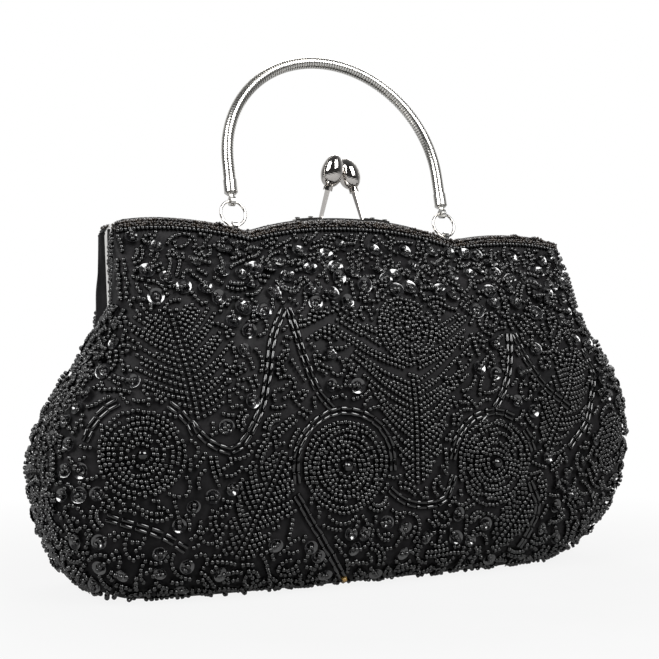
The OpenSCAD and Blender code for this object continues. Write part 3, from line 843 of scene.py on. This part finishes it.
def face_pattern(front):
    """The sewn pattern of one face: rosettes, leaves, vines, a palmette and a flower."""
    def at(x, z):
        return s_of_x(x, z, front), v_of_z(z)

    left, middle, right = at(-100, 54.5), at(-22.7, 47.5), at(44.5, 46.2)
    rosette(*left, 16)
    rosette(*middle, 17.5)
    rosette(*right, 17)
    for centre, radius, a0, a1 in (
            (middle, 20.8, 196, -8), (right, 20.2, 176, 60), (right, 20.2, 40, 8),
            (left, 19.8, 168, 112), (left, 19.8, 62, 18)):
        vine([polar(*centre, radius, math.radians(a)) for a in np.linspace(a0, a1, 9)])
    for curve in [
            [(-43.5, 107), (-49.5, 96), (-52.8, 82), (-57, 69), (-66, 56), (-76, 58), (-86, 69)],
            [(-42, 107), (-38.3, 90), (-33.5, 76), (-27.5, 69)],
            [(57, 98), (54, 84), (47, 70), (38, 61)], [(59, 98), (64, 87), (72, 76), (84, 67)],
            [(-43, 38), (-33, 22), (-20, 5)],
            [(-4, 38), (3, 33), (12, 31), (21, 33), (25.5, 42)], [(62, 38), (66, 26), (60, 10)],
            [(98, 92), (101, 78), (95, 62), (84, 50)], [(-84, 20), (-95, 27), (-112, 33)]]:
        vine([at(x, z) for x, z in curve])
    # Palmette: a round head over rows that fan out to both sides, with a gap under its lobes.
    rosette(*at(8, 99.5), 13.5, 1.5)
    slant_rows(at(9, 39), at(8, 80), ([0, 0.2, 0.45, 0.7, 1], [6, 14, 22, 27, 30]), 46, 30)
    slant_rows(at(8, 83.5), at(8, 98), ([0, 0.5, 1], [30, 30, 27]), 27, 20, 3.0, False)
    for base, tip, *shape in (
            ((-80, 66), (-87, 106), 20, 24, 48), ((-66, 16), (-47, 54), 12, 38, 52),
            ((47, 13), (69, 41), 10, 38, 52), ((72, 52), (93, 92), 13, 34, 50),
            ((-38, 97), (-20, 105), 6, 40, 60, 1.5, False), ((105, 38), (114, 64), 10, 38, 52)):
        slant_rows(at(*base), at(*tip), *shape)
    heart = at(-68.4, 80)
    sew(seeds, *heart, 0.0, 0.5, 1.6, 1.3, 0.3)
    for petal in range(6):
        a = petal * math.pi / 3 + 0.3
        for turn in (-0.32, 0.32):
            row_of_seeds([polar(*heart, 2.9, a + turn), polar(*heart, 8.5, a + turn * 0.7)])
    if front:
        sew(ambers, *at(-19.1, 4.5), 0.2, 0.3, 1.2, 1.0, 0.4)
    # Seeds along both sides of the face, as far down as its seams.
    for side in (-1, 1):
        for inset in (0.7, 2.4) if front else (3.2, 4.9):
            for z in np.arange(110, 135, 1.75):
                s, v = at(side * (102.6 - inset), z)
                s += rng.normal(0, 0.2)
                sew(seeds, s, v, rng.uniform(0, 3), 1.4, SEED_R, SEED_HALF, 0.2)
    # One even row under the rail, following its wave, and tiny beads crowded above it.
    x = np.linspace(-101.8, 101.8, 120)
    row_of_seeds([(s_of_x(a, ABOVE_ALL, front), TOP_V - 2.3) for a in x], 0.85, 0.98)
    for depth in (0.1, 0.85):
        x = np.arange(-102, 102, EDGE_PITCH)
        x += rng.normal(0, 0.2, len(x))
        tiny.extend((s_of_x(a, ABOVE_ALL, front), TOP_V - depth + rng.normal(0, 0.25),
                     rng.uniform(0, 3), rng.uniform(-0.1, 0.35), rng.uniform(0.42, 0.6), 0.42)
                    for a in x)


def is_cloth(v, column, p, margin=0.7):
    """Whether places lie on cloth that takes loose rows, clear of its free edges."""
    reach = np.where(is_front(column), 103, 100.5) - margin + 0.25 * np.clip(112 - p[:, 2], 0, 16)
    on_face = (v < TOP_V - 3.3) & ((p[:, 2] < 96) | (np.abs(p[:, 0]) < reach))
    return (v > 1.6) & np.where(is_end(column), p[:, 2] < seam_z(p[:, 1]) - 1.2, on_face)


def any_place(count):
    """Random places all round the bag, on either side of its front and rear middles."""
    row = rng.integers(0, ROWS, count)
    s = rng.uniform(-ROUND_SHARE, ROUND_SHARE, count) * BREAKS[row, -1]
    return s + rng.choice([0, REAR_MIDDLE], count), row * ROW_STEP + rng.uniform(0, ROW_STEP, count)


def scatter_sequins(tries, low, high, size):
    """Cup sequins, each held by a short row of seeds that runs out over its rim."""
    s, v = any_place(tries)
    p, _, _, column = on_bag(s, v)
    fine = is_cloth(v, column, p, 4.0) & (p[:, 2] > low) & (p[:, 2] < high)
    for i in np.nonzero(fine)[0]:
        a = np.arange(6) * math.pi / 3
        around = on_bag(s[i] + SEQUIN_ROOM * np.cos(a), v[i] + SEQUIN_ROOM * np.sin(a))[0]
        if not (free(p[i], 2.3) and all(free(q, 1.7) for q in around)):
            continue
        head = rng.uniform(0, 2 * math.pi)
        sequins.append((s[i], v[i], head, rng.uniform(0.1, 0.6), size * rng.uniform(0.88, 1.08),
                        rng.uniform(0.1, 0.7)))
        count = int(rng.integers(3, 7))
        back = rng.uniform(1, 2) * STEP
        bend = head + rng.normal(0, 0.12) * np.arange(count)
        row_s = s[i] + np.cumsum(np.cos(bend)) * STEP - math.cos(head) * back
        row_v = v[i] + np.cumsum(np.sin(bend)) * STEP - math.sin(head) * back
        tail = on_bag(row_s, row_v)[0]
        for j in range(count):
            if j > 1 and not free(tail[j], 1.3):
                break
            seeds.append((row_s[j], row_v[j], bend[j], TAIL_LIFTS[j], SEED_R, SEED_HALF))
            take(tail[j])
        for q in around:
            take(q)


def squiggles(tries, gap, least, most, bends):
    """Short curved rows of seeds where cloth is bare, often two side by side, some lifted."""
    s = np.empty((tries, most))
    v, head = np.empty_like(s), np.empty_like(s)
    s[:, 0], v[:, 0] = any_place(tries)
    head[:, 0] = rng.uniform(0, 2 * math.pi, tries)
    bend = rng.uniform(*bends, tries) * rng.choice([-1, 1], tries)
    twist = rng.normal(0, 0.05, tries)
    for k in range(1, most):
        head[:, k] = head[:, k - 1] + bend
        bend += twist
        s[:, k] = s[:, k - 1] + STEP * np.cos(head[:, k])
        v[:, k] = v[:, k - 1] + STEP * np.sin(head[:, k])
    # The second of each pair runs beside the first.
    s[1::2] = s[0::2] - PAIR_SPACE * np.sin(head[0::2])
    v[1::2] = v[0::2] + PAIR_SPACE * np.cos(head[0::2])
    head[1::2] = head[0::2]
    p, _, _, column = on_bag(s.reshape(-1), v.reshape(-1))
    fine = is_cloth(v.reshape(-1), column, p).reshape(s.shape)
    p = p.reshape(*s.shape, 3)
    first = False
    for i in range(tries):
        if i % 2 and not (first and rng.random() < PAIR_SHARE):
            continue
        close = PAIR_GAP if i % 2 else gap
        end = int(rng.integers(least, most + 1))
        count = 0
        while count < end and fine[i, count] and free(p[i, count], close):
            count += 1
        first = count >= least
        if not first:
            continue
        arch = abs(rng.normal(0, 0.5))
        lift = rng.uniform(0, 0.3)
        for k in range(count):
            rise = lift + arch * math.sin(math.pi * (k + 0.5) / count)
            seeds.append((s[i, k], v[i, k], head[i, k], rise, SEED_R * rng.uniform(0.94, 1.06),
                          SEED_HALF))
            take(p[i, k])


def make_beadwork():
    """Sews the pattern on the front, its likeness on the back, and a loose fill everywhere."""
    face_pattern(True)
    face_pattern(False)
    scatter_sequins(2200, 96, 134, 3.1)
    scatter_sequins(1300, 4, 96, 2.8)
    squiggles(30000, 1.95, 5, 9, (0.05, 0.45))
    squiggles(34000, 1.8, 3, 6, (0.1, 0.5))
    squiggles(40000, 1.66, 2, 4, (0.1, 0.5))


def place_beads():
    """Turns the sewn lists into meshes that lie on the cloth, the front's upper part apart from the
    rest.
    """
    for kind, items, shape, material in (
            ("seed_beads", seeds, BARREL, BEAD), ("bugle_beads", bugles, TUBE, BEAD),
            ("sequins", sequins, CUP, SEQUIN), ("tiny_beads", tiny, BARREL, EDGE_BEAD),
            ("amber_bead", ambers, BARREL, GOLD_BEAD)):
        s, v, head, lift, radius, half = np.array(items).T[:, :, None]
        p, n, side, column = on_bag(s[:, 0], v[:, 0])
        along = side * np.cos(head) + np.cross(n, side) * np.sin(head)
        if shape is CUP:
            centre = p + n * (0.35 + lift)
            axis, half = n + 0.6 * along * half, radius
        else:
            centre = p + n * (radius * 0.86 + lift)
            axis = along + rng.normal(0, 0.2, along.shape) * (half < 1)
        radius, half = radius[:, 0], half[:, 0]
        keep = ~(is_end(column) & (p[:, 2] > seam_z(p[:, 1]) - 1)) & (centre[:, 2] > radius + 0.05)
        bends = is_front(column) & (v[:, 0] > SPLIT_ROW * ROW_STEP)
        for where, body, chosen in (
                ("low", "bag", keep & ~bends), ("front", "bead_bend", keep & bends)):
            bead_mesh(f"{kind}_{where}", shape, material, body, centre[chosen], axis[chosen],
                      radius[chosen], half[chosen])


def crowd(name, place, radius, material, body):
    """Beads at the given places in space, each turned its own way."""
    count = len(place)
    bead_mesh(name, BARREL, material, body, place, rng.normal(size=(count, 3)),
              radius * rng.uniform(0.8, 1.15, count), np.full(count, radius * 0.8))


def edge_beads():
    """Tiny beads crowded on the folds of the rail, with knots that stand up here and there,
    seeds on the folds of the arms, and strings along the slanting seams at both ends."""
    for half, body, rows in (
            ("front", "front_half", np.arange(-10.1, -7.0, EDGE_ROW)),
            ("rear", "bag", np.arange(9.8, 2.9, -EDGE_ROW))):
        x, y = (a.reshape(-1) for a in np.meshgrid(np.arange(-101.8, 102, EDGE_PITCH), rows))
        knots = rng.uniform(-98, 98, 12)
        near = np.exp(-((x[:, None] - knots) / 2) ** 2).max(1)
        x, y = x + rng.normal(0, 0.22, len(x)), y + rng.normal(0, 0.2, len(x))
        near[np.abs(x) < CLASP_HALF_W] = 0
        z = fold_z(x) + 0.4 + rng.uniform(-0.15, 0.45, len(x)) + near * rng.uniform(0, 1.2, len(x))
        z -= 0.5 * np.clip((CLASP_HALF_W - np.abs(x)) / 3, 0, 1)
        crowd(half + "_edge_beads", np.column_stack([x, y, z]), 0.55, EDGE_BEAD, body)
    for end, sign in ENDS:
        for kind, rows, low, high in (
                ("fold", (-9.9, -8.4, -7.1), 107.5, 136), ("edge", (-6.1, -4.9), 104.5, 131.5)):
            z, y = (a.reshape(-1) for a in np.meshgrid(np.arange(low, high, 1.5), rows))
            z, y = z + rng.normal(0, 0.3, len(z)), y + rng.normal(0, 0.2, len(z))
            x = sign * (arm_x(z) + 0.55 + rng.uniform(-0.1, 0.3, len(z)))
            crowd(f"{end}_{kind}_beads", np.column_stack([x, y, z]), 0.75, BEAD, "front_half")
        for i, drop in enumerate((0.0, 1.5)):
            path = smooth_path(seam_line(sign) + [sign * 0.6, 0, -drop], 6)
            run = np.concatenate([[0], np.cumsum(np.linalg.norm(np.diff(path, axis=0), axis=1))])
            at = np.arange(0.7, run[-1], 1.35)
            place, ahead = (np.stack([np.interp(q, run, path[:, k]) for k in range(3)], 1)
                            for q in (at, at + 0.3))
            bead_mesh(f"{end}_seam_beads_{i + 1}", BARREL, BEAD, "bag",
                      place + rng.normal(0, 0.08, place.shape), ahead - place,
                      rng.uniform(0.7, 0.82, len(at)), np.full(len(at), 0.62))


# ---- clasp and metal
STRIP_FEET = ("left", "bag", -11.4), ("right", "front_half", 6.4)  # side, body, X
STRIP_EDGE = 3.5  # longest edge that bends smoothly


def make_strips():
    """The clasp strips, their long edges cut so that they can bend between the half that they are
    riveted to and their knob.
    """
    for side, body, foot_x in STRIP_FEET:
        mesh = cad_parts[side + "_clasp_strip"].data.copy()
        weld(mesh, STRIP_EDGE * MM)
        mesh.shade_flat()
        mesh.materials.clear()
        mesh.materials.append(CLASP_NICKEL)
        piece = add_object(side + "_bending_strip", mesh)
        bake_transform(piece)
        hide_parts(side + "_clasp_strip")


def paint_nodes():
    """Gives the CAD's own metal and board their materials."""
    for material, names in (
            (FRAME_NICKEL, "rear_frame front_frame left_lug right_lug"),
            (RIVET_NICKEL,
             "hinge_rivet_left hinge_rivet_right left_clasp_rivets right_clasp_rivets"),
            (CLASP_NICKEL, "left_clasp_knob right_clasp_knob"),
            (HANDLE_NICKEL, "left_handle_cap right_handle_cap"), (CHAIN_NICKEL, "handle_chain"),
            (RING_NICKEL_SHADED, "left_ring right_ring"), (STEEL, "handle_core"), (CARD, "base_board")):
        for name in names.split():
            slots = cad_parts[name].data.materials
            slots.clear()
            slots.append(material)


# ---- stage and light
FLOOR_HALF = 3.0
FLOOR_DROP = 0.0002
MIRRORED_SHARE = 0.15  # of the floor's glow, in what mirrors it
SHADOW_NEAR, SHADOW_FAR = 0.12, 0.3  # where the floor's shadow starts and ends to fade
NEAR_GLOW = 0.88
AIM = Vector((0, 0, 0.08))
BOX_HEIGHT = 0.8


def make_floor():
    """A pale floor, seen as nearly white, that keeps the object's shadow."""
    mesh = bpy.data.meshes.new("floor")
    corners = (-1, -1), (1, -1), (1, 1), (-1, 1)
    mesh.from_pydata([(FLOOR_HALF * x, FLOOR_HALF * y, 0) for x, y in corners], [], [range(4)])
    material, tree, shader, coords, _ = new_material(
        "pale_floor", (30, 3, 0.55), [(0.3, 0.26), (0.7, 0.3)], 0.9)
    path = tree.nodes.new("ShaderNodeLightPath").outputs
    seen = sums(tree, "MULTIPLY_ADD", path["Is Glossy Ray"], MIRRORED_SHARE, path["Is Camera Ray"])
    seen.node.use_clamp = True
    far = add_node(tree, "ShaderNodeVectorMath", {0: coords})
    far.operation = "LENGTH"
    clear = to_range(tree, far.outputs["Value"], NEAR_GLOW, 1.0, SHADOW_NEAR, SHADOW_FAR)
    glow = tree.nodes.new("ShaderNodeEmission").outputs["Emission"]
    both = mix(tree, sums(tree, "MULTIPLY", seen, clear), shader.outputs["BSDF"], glow)
    tree.links.new(both, tree.nodes["Material Output"].inputs["Surface"])
    mesh.materials.append(material)
    floor = add_object("floor", mesh)
    floor.location = (0, 0, -FLOOR_DROP)


def make_world():
    """White behind the object, and a dim studio in front of it that black glass mirrors."""
    world = bpy.data.worlds.new("studio")
    bpy.context.scene.world = world
    world.use_nodes = True
    tree = world.node_tree
    tree.nodes.clear()
    turn = add_node(tree, "ShaderNodeMapping", {
        "Vector": tree.nodes.new("ShaderNodeTexCoord").outputs["Generated"],
        "Rotation": (0, 0, CAMERA_TURN)})
    split = add_node(tree, "ShaderNodeSeparateXYZ", {"Vector": turn.outputs["Vector"]})
    depth = to_range(tree, split.outputs["Y"], 0.0, 1.0, -1.0)
    falling = ramp(tree, depth, [(0.1, 0.18), (0.9, 0.3)])
    mirrored = ramp(tree, depth, [(0.2, 0.03), (0.5, 0.08), (0.75, 0.3), (0.93, 1.0)])
    lit, glossy, white = (
        add_node(tree, "ShaderNodeBackground", {"Color": colour}).outputs["Background"]
        for colour in (falling, mirrored, (1, 1, 1, 1)))
    path = tree.nodes.new("ShaderNodeLightPath").outputs
    both = mix(tree, path["Is Glossy Ray"], lit, glossy)
    every = mix(tree, path["Is Camera Ray"], both, white)
    add_node(tree, "ShaderNodeOutputWorld", {"Surface": every})


def softbox(name, bearing, height, distance, width, power):
    """A soft box at a bearing in degrees from the front towards +X, aimed at the bag."""
    a, e = math.radians(bearing), math.radians(height)
    way = Vector((math.sin(a) * math.cos(e), -math.cos(a) * math.cos(e), math.sin(e)))
    data = bpy.data.lights.new(name, "AREA")
    data.shape = "RECTANGLE"
    data.size, data.size_y = width, BOX_HEIGHT
    data.energy = power
    light = add_object(name, data)
    light.location = AIM + way * distance
    light.rotation_euler = (-way).to_track_quat("-Z", "Y").to_euler()


make_camera()
make_cloth()
make_lining()
make_beadwork()
place_beads()
edge_beads()
make_strips()
paint_nodes()
make_floor()
make_world()
softbox("key_left", -68, 38, 1.3, 0.6, 14)
softbox("key_right", 16, 38, 1.3, 0.6, 14)
softbox("fill_back", 150, 45, 1.4, 0.8, 11)

bpy.context.scene.view_settings.view_transform = "Standard"
